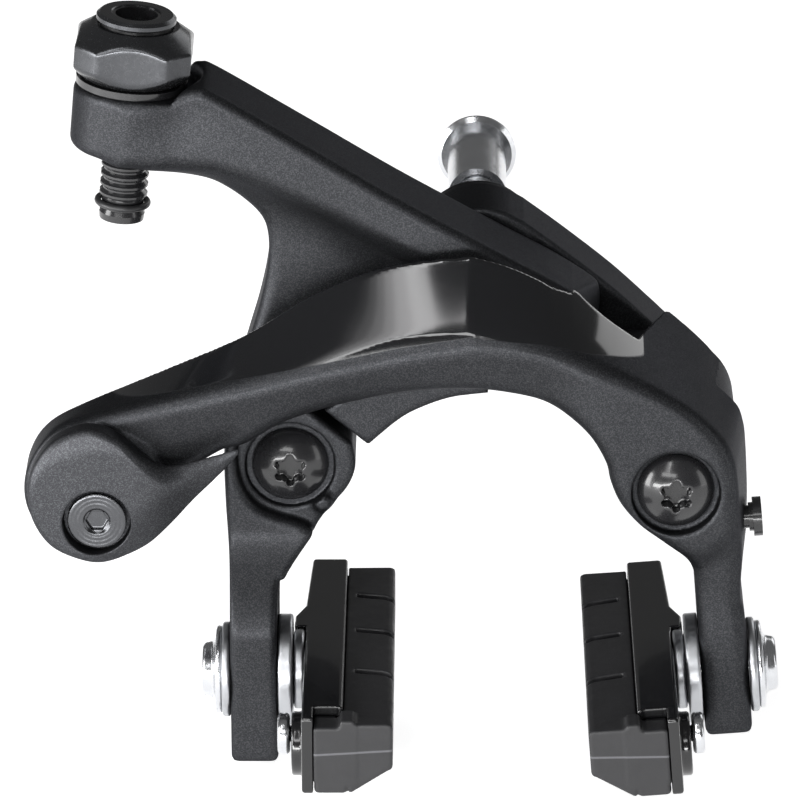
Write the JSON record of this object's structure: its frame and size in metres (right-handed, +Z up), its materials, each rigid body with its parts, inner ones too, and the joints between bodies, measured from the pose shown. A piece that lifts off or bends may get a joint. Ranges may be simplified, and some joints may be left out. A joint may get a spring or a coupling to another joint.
{
  "type": "rim brake caliper",
  "caption": "Front road bicycle rim brake caliper with symmetric pivots, cable adjuster, quick release lever and cartridge brake shoes.",
  "frame": {"origin": "centre of the bridge's rear mounting face, on the axis of the mounting stud", "axes": "+Z up, +Y rearwards along the mounting stud, +X to the right seen from the front"},
  "size_m": [0.0985, 0.088, 0.0988],
  "materials": {
    "arm_paint": "satin charcoal with a fine metallic grain, gloss black on the sloping front panel",
    "lever_grey": "satin dark grey",
    "adjuster_grey": "satin dark anodised",
    "fastener_silver": "satin plated steel",
    "washer_steel": "plain steel",
    "bolt_black": "black oxide",
    "release_steel": "dark plated steel, turned face",
    "spring_steel": "drawn steel wire",
    "bushing_polymer": "matt",
    "black_plastic": "matt",
    "shoe_black": "satin black",
    "pad_rubber": "matt moulded rubber",
    "seal_rubber": "matt"
  },
  "bodies": {
    "frame": {"bridge": "arm_paint", "mounting_stud": "fastener_silver", "mounting_washer": "washer_steel", "left_pivot_bolt": "bolt_black", "right_pivot_bolt": "bolt_black", "left_thrust_washer": "bushing_polymer", "right_thrust_washer": "bushing_polymer", "return_spring": "spring_steel", "spring_clip": "black_plastic"},
    "sleeve_nut": {"sleeve_nut": "fastener_silver"},
    "upper_arm": {"upper_arm": "arm_paint", "left_pivot_bushing": "bushing_polymer", "left_spring_seat": "black_plastic", "adjuster_detent_ring": "black_plastic"},
    "adjuster_nut": {"adjuster_nut": "adjuster_grey"},
    "adjuster_barrel": {"adjuster_barrel": "bolt_black", "adjuster_cap": "adjuster_grey", "adjuster_seal": "seal_rubber", "adjuster_o_ring": "seal_rubber"},
    "lower_arm": {"lower_arm": "arm_paint", "right_pivot_bushing": "bushing_polymer", "roller_pin": "washer_steel", "release_bushing": "bushing_polymer", "right_spring_seat": "black_plastic"},
    "sync_roller": {"sync_roller": "washer_steel"},
    "centering_screw": {"centering_screw": "bolt_black"},
    "quick_release": {"quick_release_lever": "lever_grey", "release_screw": "release_steel", "release_shaft": "fastener_silver", "cable_clamp_plate": "washer_steel", "cable_anchor_bolt": "fastener_silver"},
    "left_shoe_bolt": {"left_shoe_bolt": "fastener_silver", "left_outer_washer": "washer_steel", "left_convex_washer": "washer_steel"},
    "left_shoe": {"left_concave_washer": "washer_steel", "left_shoe_holder": "shoe_black", "left_brake_pad": "pad_rubber", "left_pad_retaining_screw": "fastener_silver"},
    "right_shoe_bolt": {"right_shoe_bolt": "fastener_silver", "right_outer_washer": "washer_steel", "right_convex_washer": "washer_steel"},
    "right_shoe": {"right_concave_washer": "washer_steel", "right_shoe_holder": "shoe_black", "right_brake_pad": "pad_rubber", "right_pad_retaining_screw": "fastener_silver"}
  },
  "joints": [
    {"name": "upper_arm_pivot", "type": "hinge", "parent": "frame", "child": "upper_arm", "pos_m": [-0.0246, -0.018, -0.0223], "axis": [0, -1, 0], "range_deg": [0, 8], "stiffness_Nm_per_rad": 1, "springref_deg": -20.05},
    {"name": "lower_arm_pivot", "type": "hinge", "parent": "frame", "child": "lower_arm", "pos_m": [0.0254, -0.026, -0.0223], "axis": [0, 1, 0], "range_deg": [0, 8], "stiffness_Nm_per_rad": 1, "springref_deg": -20.05},
    {"name": "sync_roller_spin", "type": "hinge", "parent": "lower_arm", "child": "sync_roller", "pos_m": [0.00864, -0.019, -0.0054], "axis": [0, 1, 0], "continuous": true},
    {"name": "sleeve_nut_slide", "type": "slide", "parent": "frame", "child": "sleeve_nut", "axis": [0, 1, 0], "range_m": [0, 0.03]},
    {"name": "adjuster_nut_turn", "type": "hinge", "parent": "upper_arm", "child": "adjuster_nut", "pos_m": [-0.04439, -0.018, 0.03158], "axis": [0.0906, 0, 0.9959], "range_deg": [0, 1085]},
    {"name": "adjuster_barrel_travel", "type": "slide", "parent": "upper_arm", "child": "adjuster_barrel", "axis": [0.0906, 0, 0.9959], "range_m": [0, 0.0039]},
    {"name": "quick_release_turn", "type": "hinge", "parent": "lower_arm", "child": "quick_release", "pos_m": [-0.0492, -0.032, -0.0246], "axis": [0, -1, 0], "range_deg": [0, 100]},
    {"name": "centering_screw_turn", "type": "hinge", "parent": "lower_arm", "child": "centering_screw", "pos_m": [0.03525, -0.0264, -0.0295], "axis": [0.9969, 0, 0.0785], "range_deg": [-360, 360]},
    {"name": "left_shoe_height", "type": "slide", "parent": "upper_arm", "child": "left_shoe_bolt", "axis": [0, 0, 1], "range_m": [-0.004, 0.004]},
    {"name": "left_shoe_pitch", "type": "hinge", "parent": "left_shoe_bolt", "child": "left_shoe", "pos_m": [-0.0263, -0.029, -0.0502], "axis": [1, 0, 0], "range_deg": [-10, 10]},
    {"name": "right_shoe_height", "type": "slide", "parent": "lower_arm", "child": "right_shoe_bolt", "axis": [-0.0785, 0, 0.9969], "range_m": [-0.0012, 0.006]},
    {"name": "right_shoe_pitch", "type": "hinge", "parent": "right_shoe_bolt", "child": "right_shoe", "pos_m": [0.0293, -0.029, -0.05], "axis": [0.9969, 0, 0.0785], "range_deg": [-10, 10]}
  ],
  "couplings": [
    {"joint": "upper_arm_pivot", "follows": "lower_arm_pivot", "ratio": 1},
    {"joint": "adjuster_nut_turn", "follows": "adjuster_barrel_travel", "rad_per_m": 4833.2}
  ]
}
